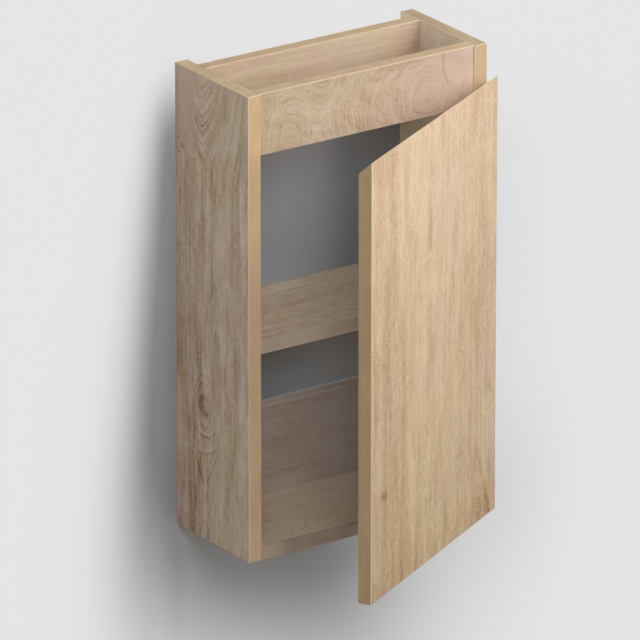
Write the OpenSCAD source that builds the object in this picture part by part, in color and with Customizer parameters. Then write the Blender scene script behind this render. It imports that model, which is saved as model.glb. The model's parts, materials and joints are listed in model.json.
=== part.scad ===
// Wall-hung cloakroom vanity cabinet with one full-overlay door, open at the top for a small basin.
// X runs to the right, Y towards the wall and Z up. The origin lies on the wall, midway between the
// two upper wall fixings. The door is drawn partly open, as it stands at rest.

/* [Cabinet] */
// Width over both sides
unit_w = 350; // [260:5:600]
// Depth from the wall to the front edges of the sides
unit_d = 157; // [140:1:400]
// Height of the sides
unit_h = 600; // [520:5:900]
// Thickness of every cabinet board
board_t = 18; // [16:0.5:22]
// Thickness of the edging strips
edging_t = 1; // [0.4:0.1:2]
// Height of the fascia, the top rail at the front
fascia_h = 78; // [60:1:120]
// How far the fascia stands behind the front edges of the sides
fascia_set_back = 2.5; // [0:0.5:8]
// Height of the top rail at the rear
rear_rail_h = 80; // [60:1:160]
// Space between the rear top rail and the wall
rear_rail_inset = 22; // [21:1:30]
// Height of the shelf's underside above the unit's bottom
shelf_h = 266; // [180:1:300]
// How far the shelf stands behind the front edges of the sides
shelf_set_back = 4; // [0:0.5:10]
// Height of the low rail that stands on the bottom at the wall
low_rail_h = 117; // [70:1:140]

/* [Door] */
// Thickness of the door
door_t = 18; // [16:0.5:22]
// Gap between the closed door and the front edges of the sides
door_gap = 3.5; // [3:0.25:5]
// How far the door hangs below the unit's bottom
door_drop = 3; // [0:1:15]
// Height of fascia that the door leaves bare above it
grip_gap = 37; // [25:1:45]
// Fall of the door's slanting top edge, from its outer face to its inner face
grip_fall = 17; // [8:1:18]
// Angle at which the door stands open
door_angle = 29.3; // [0:0.1:95]

/* [Hinges] */
// Height of the lower hinge above the door's bottom
lower_hinge_h = 100; // [60:1:150]
// Depth of the upper hinge below the door's top
upper_hinge_drop = 100; // [60:1:150]
// Outer radius of the hinge cup
cup_r = 17.5; // [17:0.5:20]
// Depth of the hinge cup in the door
cup_depth = 12; // [11:0.5:13]
// Wood between the cup's rim and the door's edge
cup_edge = 3; // [2.5:0.5:6]
// Wall of the hinge cup
cup_wall = 0.8; // [0.5:0.1:1]
// Distance of the hinge axis from the cup's rim
axis_rim = 3.8; // [3.8:0.1:5]
// Depth of the hinge axis below the door's inner face
axis_depth = 7.3; // [7:0.1:7.6]
// Radius of the hinge pin
pin_r = 1; // [0.8:0.1:1.1]
// Distance of the mounting plate's screws from the front edge of the side
plate_back = 37; // [34:0.5:45]
// Distance between the two screws of a mounting plate
plate_screw_pitch = 32; // [28:1:40]
// Distance between the two screws of a hinge cup
cup_screw_pitch = 48; // [45:1:52]

/* [Joints] */
// Radius of the wooden dowels
dowel_r = 4; // [3:0.5:4]
// Length of the wooden dowels
dowel_l = 30; // [25:1:35]
// Length of a dowel that sits in the side
dowel_in_side = 10; // [8:0.5:12]
// Distance of a rail's dowels from its long edges
rail_dowel_inset = 16; // [12:1:17]
// Distance of the shelf's and bottom's dowels from their long edges
panel_dowel_inset = 30; // [20:1:45]
// Radius of the cam fittings
cam_r = 7.5; // [7:0.5:8]
// Distance of a cam's centre from the board's end
cam_back = 24; // [22:1:34]
// Radius of the cam bolt's shank
bolt_r = 3; // [2.5:0.25:3]
// Length of the cam bolt's thread in the side
bolt_thread_l = 10; // [8:0.5:12]

/* [Wall fixings] */
// Height of the angle brackets
bracket_h = 40; // [36:1:60]
// Space between the rear top rail and the brackets below it
bracket_clear = 8; // [4:1:20]
// Width of a bracket's foot on the wall
bracket_foot = 40; // [34:1:50]
// Depth of a bracket's leg on the side
bracket_leg = 20; // [18:1:24]
// Thickness of the bracket's sheet steel
bracket_t = 2; // [1.5:0.5:3]
// Radius of the upper wall fixing holes
fixing_hole_r = 3.25; // [2.5:0.25:4]
// Distance of the upper wall fixing holes from the inner face of the side
fixing_hole_in = 25; // [20:1:28]
// Radius of the low rail's wall fixing holes
low_hole_r = 3; // [2.5:0.25:4]
// Distance between the low rail's wall fixing holes
low_hole_pitch = 200; // [100:5:200]
// Height of the low rail's fixing holes above the bottom board
low_hole_h = 88; // [85:1:95]

/* [Hidden] */
$fn = 48;

// Radial clearance of a peg in its bore, and the room at the end of a blind bore
peg_fit = 0.05;
bore_end = 0.5;
// Overlap of a cutting shape past the face that it cuts
past = 1;

// Cabinet planes
half_w = unit_w / 2;
inner_x = half_w - board_t;
front_y = -unit_d;
fixing_drop = rear_rail_h + bracket_clear + bracket_h / 2;
top_z = fixing_drop;
base_z = top_z - unit_h;
fascia_y = front_y + fascia_set_back;
fascia_z = top_z - fascia_h;
rear_rail_y = -rear_rail_inset - board_t;
rear_rail_z = top_z - rear_rail_h;
shelf_y = front_y + shelf_set_back;
shelf_z = base_z + shelf_h;
low_rail_z = base_z + board_t;

// Door planes, with the door closed
door_back_y = front_y - door_gap;
door_front_y = door_back_y - door_t;
door_z = base_z - door_drop;
door_top_z = top_z - grip_gap;

// Hinge axis, cup centre, hinge heights
axis_x = half_w - cup_edge - axis_rim;
axis_y = door_back_y - axis_depth;
cup_x = half_w - cup_edge - cup_r;
hinge_z = [door_z + lower_hinge_h, door_top_z - upper_hinge_drop];
plate_y = front_y + plate_back;

// Hinge arm and its seat
rib_w = 11;
rib_h = 8;
plate_t = 2;
arm_t = 1.5;
arm_w = rib_w + 2 * arm_t + 0.4;
arm_roof_x = inner_x - rib_h - peg_fit;
nose_w = 8;
nose_t = 3;
leg_t = 5;
eye_r = pin_r + 1;
cheek_gap = 0.3;
cheek_t = 1.6;
flange_t = 1;
flange_rim = 1.6;
cup_screw_x = cup_x - 6;

// Door bumpers
bumper_r = 4;
bumper_stem_r = 2.5;
bumper_stem_l = 7;
bumper_clear = 0.3;
bumper_end = 40;
bumper_x = -half_w + board_t / 2;

// Screws: shank radius, length under the head, head radius, head height
small_screw = [1.75, 12, 3.5, 1.5];
arm_screw = [2, 7.5, 4, 2];

// Cam fittings
cam_past = 4;
bolt_bore_r = bolt_r + 1;
bolt_head_l = 3.5;
bolt_neck_r = 1.8;
bolt_thread_r = 2.5;
cam_x = inner_x - cam_back;

// Rows of dowels as [y, z], and cams as [y, z, face], where the cam is let in from below or from behind
function rail_dowels(y, z, h) = [
    for (row = [z + rail_dowel_inset, z + h - rail_dowel_inset]) [y + board_t / 2, row]
];
function panel_dowels(y, z) = [
    for (row = [y + panel_dowel_inset, -panel_dowel_inset]) [row, z + board_t / 2]
];
function rail_cam(y, z, h) = [y + board_t / 2, z + h / 2, "behind"];
function panel_cam(y, z) = [y / 2, z + board_t / 2, "below"];

fascia_dowels = rail_dowels(fascia_y, fascia_z, fascia_h);
rear_dowels = rail_dowels(rear_rail_y, rear_rail_z, rear_rail_h);
low_dowels = rail_dowels(-board_t, low_rail_z, low_rail_h);
shelf_dowels = panel_dowels(shelf_y, shelf_z);
bottom_dowels = panel_dowels(front_y, base_z);
all_dowels = concat(fascia_dowels, rear_dowels, low_dowels, shelf_dowels, bottom_dowels);

fascia_cam = rail_cam(fascia_y, fascia_z, fascia_h);
rear_cam = rail_cam(rear_rail_y, rear_rail_z, rear_rail_h);
low_cam = rail_cam(-board_t, low_rail_z, low_rail_h);
shelf_cam = panel_cam(shelf_y, shelf_z);
bottom_cam = panel_cam(front_y, base_z);
all_cams = [fascia_cam, rear_cam, low_cam, shelf_cam, bottom_cam];

// Colours
oak = "tan";
edge_oak = "burlywood";
steel = "silver";

// A box between two opposite corners
module block(low, high) translate(low) cube(high - low);

// A rod along X, Y or Z from a point
module rod_x(from, length, r) translate(from) rotate([0, 90, 0]) cylinder(h = length, r = r);
module rod_y(from, length, r) translate(from) rotate([-90, 0, 0]) cylinder(h = length, r = r);
module rod_z(from, length, r) translate(from) cylinder(h = length, r = r);

// Both the right-hand children and their mirror image on the left
module both_sides() {
    children();
    mirror([1, 0, 0]) children();
}

// A pan-head screw that points along +X, its head's underside at the origin
module screw_x(size) {
    rod_x([-size[3], 0, 0], size[3], size[2]);
    rod_x([-past / 2, 0, 0], size[1] + past / 2, size[0]);
}

// A screw's pilot bore, from the same size
module pilot_x(size) rod_x([-past, 0, 0], size[1] + past + bore_end, size[0] + peg_fit);

// The bores that a board's dowels and cam need at its right-hand end
module end_bores(dowels, cam) {
    in_board = dowel_l - dowel_in_side + bore_end;
    for (row = dowels) rod_x([inner_x - in_board, row[0], row[1]], in_board + past, dowel_r + peg_fit);
    rod_x([cam_x, cam[0], cam[1]], cam_back + past, bolt_bore_r);
    cam_body(cam, cam_r + peg_fit, past);
}

// The bores in a side for every dowel and cam bolt
module side_bores() {
    for (row = all_dowels)
        rod_x([inner_x - past, row[0], row[1]], dowel_in_side + bore_end + past, dowel_r + peg_fit);
    for (cam = all_cams)
        rod_x([inner_x - past, cam[0], cam[1]], bolt_thread_l + bore_end + past, bolt_thread_r + peg_fit);
}

// The round body of a cam, let into a board as far as just past the bolt, and proud of it by some
module cam_body(cam, r, proud) {
    depth = board_t / 2 + cam_past;
    if (cam[2] == "below") rod_z([cam_x, cam[0], cam[1] - board_t / 2 - proud], depth + proud, r);
    if (cam[2] == "behind") rod_y([cam_x, cam[0] - cam_past, cam[1]], depth + proud, r);
}

// A board between the sides, with its fittings' bores at both ends
module cross_board(low, high, dowels, cam) {
    difference() {
        block([-inner_x, low[0], low[1]], [inner_x, high[0], high[1]]);
        both_sides() end_bores(dowels, cam);
    }
}

// An edging strip between the sides
module cross_edging(low, high) block([-inner_x, low[0], low[1]], [inner_x, high[0], high[1]]);

// The right-hand side, short of its edging
module side_board() {
    difference() {
        block([inner_x, front_y + edging_t, base_z], [half_w, 0, top_z - edging_t]);
        side_bores();
        for (z = bracket_screw_rows) translate([inner_x, bracket_screw_y, z]) pilot_x(small_screw);
    }
}
module side_front_strip() block([inner_x, front_y, base_z], [half_w, front_y + edging_t, top_z - edging_t]);
module side_top_strip() block([inner_x, front_y, top_z - edging_t], [half_w, 0, top_z]);

module side_left() color(oak) mirror([1, 0, 0]) side_board();
module side_left_front_edging() color(edge_oak) mirror([1, 0, 0]) side_front_strip();
module side_left_top_edging() color(edge_oak) mirror([1, 0, 0]) side_top_strip();
module side_right_front_edging() color(edge_oak) side_front_strip();
module side_right_top_edging() color(edge_oak) side_top_strip();

module side_right() {
    color(oak) difference() {
        side_board();
        for (z = hinge_z, s = [-1, 1])
            translate([inner_x, plate_y, z + s * plate_screw_pitch / 2]) pilot_x(small_screw);
    }
}

module bottom_panel() {
    color(oak) cross_board([front_y + edging_t, base_z], [0, base_z + board_t], bottom_dowels, bottom_cam);
}
module bottom_edging() color(edge_oak) cross_edging([front_y, base_z], [front_y + edging_t, base_z + board_t]);

module shelf() {
    color(oak) cross_board([shelf_y + edging_t, shelf_z], [0, shelf_z + board_t], shelf_dowels, shelf_cam);
}
module shelf_edging() color(edge_oak) cross_edging([shelf_y, shelf_z], [shelf_y + edging_t, shelf_z + board_t]);

module front_rail() {
    high = [fascia_y + board_t, top_z - edging_t];
    color(oak) cross_board([fascia_y, fascia_z], high, fascia_dowels, fascia_cam);
}
module front_rail_edging() {
    color(edge_oak) cross_edging([fascia_y, top_z - edging_t], [fascia_y + board_t, top_z]);
}

module rear_top_rail() {
    high = [-rear_rail_inset, top_z - edging_t];
    color(oak) cross_board([rear_rail_y, rear_rail_z], high, rear_dowels, rear_cam);
}
module rear_top_rail_edging() {
    color(edge_oak) cross_edging([rear_rail_y, top_z - edging_t], [-rear_rail_inset, top_z]);
}

// The low rail stands on the bottom, against the wall, and has two wall fixing holes
module low_rear_rail() {
    low_rail_top = low_rail_z + low_rail_h - edging_t;
    color(oak) difference() {
        cross_board([-board_t, low_rail_z], [0, low_rail_top], low_dowels, low_cam);
        for (s = [-1, 1])
            rod_y([s * low_hole_pitch / 2, -board_t - past, low_rail_z + low_hole_h], board_t + 2 * past, low_hole_r);
    }
}
module low_rear_rail_edging() {
    low_rail_top = low_rail_z + low_rail_h;
    color(edge_oak) cross_edging([-board_t, low_rail_top - edging_t], [0, low_rail_top]);
}

module dowels() {
    color("wheat") both_sides()
        for (row = all_dowels)
            rod_x([inner_x - dowel_l + dowel_in_side, row[0], row[1]], dowel_l, dowel_r);
}

// Each bolt is screwed into the side and ends in a round head inside its cam
module cam_bolts() {
    shank_x = cam_x + cam_r + past;
    color(steel) both_sides() for (cam = all_cams) {
        rod_x([inner_x - past, cam[0], cam[1]], bolt_thread_l + past, bolt_thread_r);
        rod_x([shank_x, cam[0], cam[1]], inner_x - shank_x, bolt_r);
        rod_x([cam_x, cam[0], cam[1]], shank_x - cam_x + past, bolt_neck_r);
        rod_x([cam_x - bolt_head_l / 2, cam[0], cam[1]], bolt_head_l, bolt_r);
    }
}

// Each cam has a hollow for the bolt's head and a cross recess on its face
module cams() {
    color("darkgray") both_sides() for (cam = all_cams) difference() {
        cam_body(cam, cam_r, 0);
        rod_x([cam_x - bolt_head_l / 2 - bore_end, cam[0], cam[1]], cam_r * 2, bolt_r + 4 * peg_fit);
        cam_recess(cam);
    }
}

module cam_recess(cam) {
    slot_l = cam_r * 1.2;
    slot_w = 1.4;
    slot_depth = 1.5;
    for (size = [[slot_l, slot_w], [slot_w, slot_l]]) {
        if (cam[2] == "below")
            block([cam_x - size[0] / 2, cam[0] - size[1] / 2, cam[1] - board_t / 2 - past],
                [cam_x + size[0] / 2, cam[0] + size[1] / 2, cam[1] - board_t / 2 + slot_depth]);
        if (cam[2] == "behind")
            block([cam_x - size[0] / 2, cam[0] + board_t / 2 - slot_depth, cam[1] - size[1] / 2],
                [cam_x + size[0] / 2, cam[0] + board_t / 2 + past, cam[1] + size[1] / 2]);
    }
}

// Turns the closed door's pieces about the hinge axis to the angle at which the door stands
module hung() {
    translate([axis_x, axis_y, 0]) rotate([0, 0, door_angle]) translate([-axis_x, -axis_y, 0]) children();
}

// A profile in Y and Z carried along X
module along_x(x0, x1, outline) {
    translate([x0, 0, 0]) rotate([90, 0, 90]) linear_extrude(height = x1 - x0) polygon(outline);
}

// The top edging's height on the upright faces, for its true thickness square to the slant
slant_v = edging_t * norm([door_t, grip_fall]) / door_t;
door_outline = [
    [door_front_y, door_z], [door_back_y, door_z],
    [door_back_y, door_top_z - grip_fall], [door_front_y, door_top_z]
];
door_core_outline = [
    [door_front_y, door_z + edging_t], [door_back_y, door_z + edging_t],
    [door_back_y, door_top_z - grip_fall - slant_v], [door_front_y, door_top_z - slant_v]
];
door_slant_outline = [
    [door_front_y, door_top_z - slant_v], [door_back_y, door_top_z - grip_fall - slant_v],
    [door_back_y, door_top_z - grip_fall], [door_front_y, door_top_z]
];

module door_panel() {
    color(oak) hung() difference() {
        along_x(-half_w + edging_t, half_w - edging_t, door_core_outline);
        for (z = hinge_z) {
            rod_y([cup_x, door_back_y - cup_depth - bore_end, z], cup_depth + bore_end + past, cup_r + peg_fit);
            cup_screw_places(z) pilot_x(small_screw);
        }
        for (z = bumper_rows)
            rod_y([bumper_x, door_back_y - bumper_stem_l - bore_end, z], bumper_stem_l + bore_end + past,
                bumper_stem_r + peg_fit);
    }
}
module door_top_edging() color(edge_oak) hung() along_x(-half_w + edging_t, half_w - edging_t, door_slant_outline);
module door_bottom_edging() {
    color(edge_oak) hung()
        block([-half_w + edging_t, door_front_y, door_z], [half_w - edging_t, door_back_y, door_z + edging_t]);
}
module door_hinge_edging() color(edge_oak) hung() along_x(half_w - edging_t, half_w, door_outline);
module door_free_edging() color(edge_oak) hung() along_x(-half_w, -half_w + edging_t, door_outline);

// Soft buffers that the closing door meets the left side with
bumper_rows = [door_z + bumper_end, door_top_z - grip_fall - bumper_end];
module door_bumpers() {
    color("whitesmoke") hung() for (z = bumper_rows) {
        rod_y([bumper_x, door_back_y, z], door_gap - bumper_clear, bumper_r);
        rod_y([bumper_x, door_back_y - bumper_stem_l, z], bumper_stem_l + past, bumper_stem_r);
    }
}

// Places of a cup's two screws, pointing into the door
module cup_screw_places(z) {
    for (s = [-1, 1])
        translate([cup_screw_x, door_back_y, z + s * cup_screw_pitch / 2]) rotate([0, 0, -90]) children();
}

// The cup is let into the door, with a flange on the door's inner face and two cheeks that hold the pin
module hinge_cup(z) {
    floor_y = door_back_y - cup_depth;
    wing = [small_screw[2] + 1.5, cup_screw_pitch / 2 + small_screw[2] + 1];
    color(steel) hung() difference() {
        union() {
            difference() {
                union() {
                    rod_y([cup_x, floor_y, z], cup_depth, cup_r);
                    rod_y([cup_x, door_back_y, z], flange_t, cup_r + flange_rim);
                    block([cup_screw_x - wing[0], door_back_y, z - wing[1]],
                        [cup_screw_x + wing[0], door_back_y + flange_t, z + wing[1]]);
                }
                rod_y([cup_x, floor_y + cup_wall, z], cup_depth + flange_t + past, cup_r - cup_wall);
            }
            intersection() {
                for (s = [-1, 1]) pin_cheek(s, z, floor_y);
                rod_y([cup_x, floor_y, z], cup_depth, cup_r - cup_wall / 2);
            }
        }
        rod_z([axis_x, axis_y, z - arm_w], 2 * arm_w, pin_r + peg_fit / 2);
        cup_screw_places(z) translate([-flange_t, 0, 0]) pilot_x(small_screw);
    }
}
module pin_cheek(s, z, floor_y) {
    near = nose_w / 2 + cheek_gap;
    low = s > 0 ? z + near : z - near - cheek_t;
    block([axis_x - eye_r - 1, floor_y, low], [axis_x + cup_r, axis_y + eye_r, low + cheek_t]);
}
module hinge_cup_lower() hinge_cup(hinge_z[0]);
module hinge_cup_upper() hinge_cup(hinge_z[1]);

module cup_screws() {
    color(steel) hung() for (z = hinge_z)
        cup_screw_places(z) translate([-flange_t, 0, 0]) screw_x(small_screw);
}

module hinge_pins() {
    pin_l = nose_w + 2 * (cheek_gap + cheek_t);
    color(steel) hung() for (z = hinge_z) rod_z([axis_x, axis_y, z - pin_l / 2], pin_l, pin_r);
}

// The mounting plate is screwed to the side, and its rib carries the arm
module hinge_plate(z) {
    wing_z = plate_screw_pitch / 2 + small_screw[2] + 2;
    wing_y = small_screw[2] + 2.5;
    rib_front = front_y + 13;
    rib_back = front_y + plate_back + 20;
    color("gainsboro") difference() {
        union() {
            block([inner_x - plate_t, plate_y - wing_y, z - wing_z], [inner_x, plate_y + wing_y, z + wing_z]);
            block([inner_x - plate_t, rib_front, z - rib_w / 2], [inner_x, rib_back, z + rib_w / 2]);
            block([inner_x - rib_h, rib_front, z - rib_w / 2], [inner_x - plate_t, rib_back, z + rib_w / 2]);
        }
        for (s = [-1, 1])
            translate([inner_x - plate_t, plate_y, z + s * plate_screw_pitch / 2]) pilot_x(small_screw);
        translate([inner_x - rib_h, plate_y, z]) pilot_x(arm_screw);
    }
}
module hinge_plate_lower() hinge_plate(hinge_z[0]);
module hinge_plate_upper() hinge_plate(hinge_z[1]);

module plate_screws() {
    color(steel) for (z = hinge_z, s = [-1, 1])
        translate([inner_x - plate_t, plate_y, z + s * plate_screw_pitch / 2]) screw_x(small_screw);
}

// The arm is a channel over the plate's rib, with a cranked nose that ends in the eye round the pin
module hinge_arm(z) {
    arm_x = arm_roof_x - arm_t;
    arm_front = front_y + 7;
    arm_back = front_y + plate_back + 22;
    leg_back = front_y + 11;
    color(steel) difference() {
        union() {
            block([arm_x, arm_front, z - arm_w / 2], [arm_roof_x, arm_back, z + arm_w / 2]);
            for (s = [-1, 1]) arm_cheek(s, z, arm_front, arm_back);
            block([arm_x, axis_y - nose_t / 2, z - nose_w / 2], [arm_x + leg_t, leg_back, z + nose_w / 2]);
            block([arm_x, axis_y - nose_t / 2, z - nose_w / 2], [axis_x, axis_y + nose_t / 2, z + nose_w / 2]);
            rod_z([axis_x, axis_y, z - nose_w / 2], nose_w, eye_r);
        }
        rod_z([axis_x, axis_y, z - arm_w], 2 * arm_w, pin_r + peg_fit);
        translate([arm_x, plate_y, z]) pilot_x(arm_screw);
    }
}
module arm_cheek(s, z, y0, y1) {
    low = s > 0 ? z + arm_w / 2 - arm_t : z - arm_w / 2;
    block([arm_roof_x - arm_t, y0, low], [inner_x - plate_t - past, y1, low + arm_t]);
}
module hinge_arm_lower() hinge_arm(hinge_z[0]);
module hinge_arm_upper() hinge_arm(hinge_z[1]);

module arm_screws() {
    color(steel) for (z = hinge_z) translate([arm_roof_x - arm_t, plate_y, z]) screw_x(arm_screw);
}

// The right-hand angle bracket: one leg on the side, one foot flat on the wall with a fixing hole
bracket_screw_y = -bracket_leg * 0.6;
bracket_screw_rows = [-bracket_h * 0.3, bracket_h * 0.3];
module wall_bracket() {
    color(steel) difference() {
        union() {
            block([inner_x - bracket_t, -bracket_leg, -bracket_h / 2], [inner_x, 0, bracket_h / 2]);
            block([inner_x - bracket_foot, -bracket_t, -bracket_h / 2], [inner_x, 0, bracket_h / 2]);
        }
        rod_y([inner_x - fixing_hole_in, -bracket_t - past, 0], bracket_t + 2 * past, fixing_hole_r);
        for (z = bracket_screw_rows)
            translate([inner_x - bracket_t, bracket_screw_y, z]) pilot_x(small_screw);
    }
}
module wall_bracket_right() wall_bracket();
module wall_bracket_left() mirror([1, 0, 0]) wall_bracket();

module bracket_screws() {
    color(steel) both_sides() for (z = bracket_screw_rows)
        translate([inner_x - bracket_t, bracket_screw_y, z]) screw_x(small_screw);
}

side_left();
side_right();
bottom_panel();
shelf();
front_rail();
rear_top_rail();
low_rear_rail();
side_left_front_edging();
side_left_top_edging();
side_right_front_edging();
side_right_top_edging();
front_rail_edging();
rear_top_rail_edging();
low_rear_rail_edging();
shelf_edging();
bottom_edging();
dowels();
cam_bolts();
cams();
door_panel();
door_top_edging();
door_bottom_edging();
door_hinge_edging();
door_free_edging();
door_bumpers();
hinge_cup_lower();
hinge_cup_upper();
cup_screws();
hinge_pins();
hinge_arm_lower();
hinge_arm_upper();
hinge_plate_lower();
hinge_plate_upper();
plate_screws();
arm_screws();
wall_bracket_left();
wall_bracket_right();
bracket_screws();
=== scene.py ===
"""Looks of the wall-hung cloakroom vanity cabinet: printed-oak boards, oak-tone edging strips, steel
hinges, brackets and screws, on a pale wall in soft light. Lengths are metres in the CAD frame,
and patterns work in millimetres."""

import json
import math

import bmesh
import bpy
import numpy as np
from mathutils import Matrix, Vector

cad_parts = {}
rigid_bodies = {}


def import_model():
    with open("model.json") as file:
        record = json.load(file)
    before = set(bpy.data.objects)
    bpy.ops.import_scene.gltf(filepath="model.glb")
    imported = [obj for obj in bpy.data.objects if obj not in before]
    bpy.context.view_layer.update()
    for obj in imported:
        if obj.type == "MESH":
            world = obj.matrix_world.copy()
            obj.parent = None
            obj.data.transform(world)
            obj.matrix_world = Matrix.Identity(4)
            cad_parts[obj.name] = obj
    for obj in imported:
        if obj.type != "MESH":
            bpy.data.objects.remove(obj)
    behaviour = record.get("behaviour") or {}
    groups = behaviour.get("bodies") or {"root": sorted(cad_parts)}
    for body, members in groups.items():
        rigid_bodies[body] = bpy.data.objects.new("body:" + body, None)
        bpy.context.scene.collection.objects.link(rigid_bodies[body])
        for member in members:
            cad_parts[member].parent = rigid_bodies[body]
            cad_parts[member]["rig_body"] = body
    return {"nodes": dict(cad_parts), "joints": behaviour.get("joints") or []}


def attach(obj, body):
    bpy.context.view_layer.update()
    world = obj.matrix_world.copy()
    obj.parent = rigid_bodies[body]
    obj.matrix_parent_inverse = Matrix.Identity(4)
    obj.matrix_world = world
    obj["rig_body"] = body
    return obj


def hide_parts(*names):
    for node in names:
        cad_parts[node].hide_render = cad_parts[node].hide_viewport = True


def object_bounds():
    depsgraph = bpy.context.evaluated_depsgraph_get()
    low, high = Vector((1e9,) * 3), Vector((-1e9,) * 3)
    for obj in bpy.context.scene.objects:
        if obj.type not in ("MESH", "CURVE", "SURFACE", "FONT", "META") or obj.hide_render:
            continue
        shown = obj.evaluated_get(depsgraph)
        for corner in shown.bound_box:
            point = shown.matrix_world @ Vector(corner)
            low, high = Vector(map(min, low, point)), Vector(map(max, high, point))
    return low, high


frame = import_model()
cad_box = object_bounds()
MM = 0.001

# The door stands open by this angle about the hinge axis, and its pieces are worked out closed.
door_joint = frame["joints"][0]
door_turn = math.radians(-door_joint["range_deg"][0])
hinge_x, hinge_y = door_joint["pos_m"][:2]
door_nodes = [n for n, o in frame["nodes"].items() if o["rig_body"] == "door"]


def turned_about_hinge(points, angle):
    """Points turned about the upright hinge axis: x' = c dx - s dy and y' = s dx + c dy, where dx and
    dy are measured from the axis."""
    out = np.array(points, float)
    dx, dy = out[..., 0] - hinge_x, out[..., 1] - hinge_y
    c, s = math.cos(angle), math.sin(angle)
    out[..., 0] = hinge_x + c * dx - s * dy
    out[..., 1] = hinge_y + s * dx + c * dy
    return out


def closed_box(node):
    """Lowest and highest corner of a node, in the frame of the closed door for the door's nodes."""
    mesh = frame["nodes"][node].data
    co = np.zeros(len(mesh.vertices) * 3, np.float32)
    mesh.vertices.foreach_get("co", co)
    co = co.reshape(-1, 3).astype(float)
    if node in door_nodes:
        co = turned_about_hinge(co, -door_turn)
    return co.min(0), co.max(0)


def placed(name, data):
    """A new object in the scene, at the origin."""
    made = bpy.data.objects.new(name, data)
    bpy.context.scene.collection.objects.link(made)
    return made


def stand_in(name, mesh, node):
    """An object in the scene that rides with a CAD node's body and replaces the node."""
    piece = placed(name, mesh)
    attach(piece, frame["nodes"][node]["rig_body"])
    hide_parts(node)
    return piece


def new_piece(name, points, faces, node, smooth_angle=35, tags=None):
    """A mesh object that stands for a CAD node, from points and faces. Its faces point outwards, and
    edges are smooth below smooth_angle. tags gives the number of each face's material."""
    if node in door_nodes:
        points = turned_about_hinge(points, door_turn)
    mesh = bpy.data.meshes.new(name)
    mesh.from_pydata(np.asarray(points, float).tolist(), [], [list(map(int, f)) for f in faces])
    if tags is not None:
        mesh.polygons.foreach_set("material_index", np.asarray(tags, np.int32))
    shell = bmesh.new()
    shell.from_mesh(mesh)
    bmesh.ops.recalc_face_normals(shell, faces=shell.faces)
    shell.to_mesh(mesh)
    shell.free()
    mesh.shade_smooth()
    mesh.set_sharp_from_angle(angle=math.radians(smooth_angle))
    return stand_in(name, mesh, node)


def ring_faces(rings, count):
    """Quads between neighbouring rings of count points each, with a face over each end."""
    i, j = np.meshgrid(np.arange(rings - 1), np.arange(count), indexing="ij")
    k = (j + 1) % count
    quads = np.stack([i * count + j, i * count + k, (i + 1) * count + k, (i + 1) * count + j], -1)
    ends = [list(range(count))[::-1], list(range((rings - 1) * count, rings * count))]
    return quads.reshape(-1, 4).tolist() + ends


def edging(node, axis, sign, rounded, light="", fall=0.0):
    """A thin strip in its node's box, on the side that axis and sign name, with quarter rounds along
    the rounded sides of its outer face. Each ring is the strip's rectangle, drawn in by
    r(1 - cos t) at a height of T - r + r sin t. u and v are the two other axes in order; u is the
    low side and U the high one. The rounds that light names get the pale rim's material, a
    painted highlight. fall tilts the strip for the door's top: z drops by fall for each metre of y
    towards the inside."""
    radius, foot = 0.9 * MM, 0.972 * MM  # of the quarter rounds, and where they start and end
    lo, hi = closed_box(node)
    others = [a for a in range(3) if a != axis]
    thick = hi[axis] - lo[axis]
    if fall:
        thick = thick - fall * (hi[1] - lo[1])
    t = np.radians(np.linspace(0, 90, 6))
    drawn = np.concatenate([[0, 0], radius * (1 - np.cos(t)), [foot]])
    height = np.concatenate([[0, thick - foot], thick - radius + radius * np.sin(t), [thick]])
    u0, u1 = (lo[others[0]] + drawn * ("u" in rounded), hi[others[0]] - drawn * ("U" in rounded))
    v0, v1 = (lo[others[1]] + drawn * ("v" in rounded), hi[others[1]] - drawn * ("V" in rounded))
    points = np.zeros((len(drawn), 4, 3))
    points[..., others[0]] = np.stack([u0, u1, u1, u0], 1)
    points[..., others[1]] = np.stack([v0, v0, v1, v1], 1)
    base = lo[axis] if sign > 0 else hi[axis]
    points[..., axis] = (base + sign * height)[:, None]
    if fall:
        points[..., 2] = lo[2] + height[:, None] + fall * (hi[1] - points[..., 1])
    faces = ring_faces(len(drawn), 4)
    tags = np.zeros(len(faces), int)
    for side, name in enumerate("vUVu"):
        if name in light:
            tags[4 * np.arange(1, len(drawn) - 2) + side] = 1
    return new_piece(node + "_strip", points.reshape(-1, 3), faces, node, tags=tags)


def eased_copy(node, width):
    """A merged copy of a CAD node with its sharp edges eased by a narrow bevel."""
    mesh = frame["nodes"][node].data.copy()
    shell = bmesh.new()
    shell.from_mesh(mesh)
    bmesh.ops.remove_doubles(shell, verts=shell.verts, dist=1e-6)
    bmesh.ops.dissolve_limit(shell, angle_limit=math.radians(1), verts=shell.verts, edges=shell.edges)
    shell.to_mesh(mesh)
    shell.free()
    mesh.materials.clear()
    mesh.shade_smooth()
    mesh.set_sharp_from_angle(angle=math.radians(35))
    piece = stand_in(node + "_eased", mesh, node)
    bevel = piece.modifiers.new("eased edges", "BEVEL")
    bevel.width = width
    bevel.segments = 2
    bevel.limit_method = "ANGLE"
    bevel.angle_limit = math.radians(40)
    bevel.harden_normals = True
    return piece


def cross_outline(angle, half_length, half_width):
    """Radius of a plus sign's outline at an angle: the farther of its two bars' outlines."""
    c, s = np.abs(np.cos(angle)) + 1e-9, np.abs(np.sin(angle)) + 1e-9
    bar = np.minimum(half_length / c, half_width / s)
    return np.maximum(bar, np.minimum(half_width / c, half_length / s))


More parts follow.
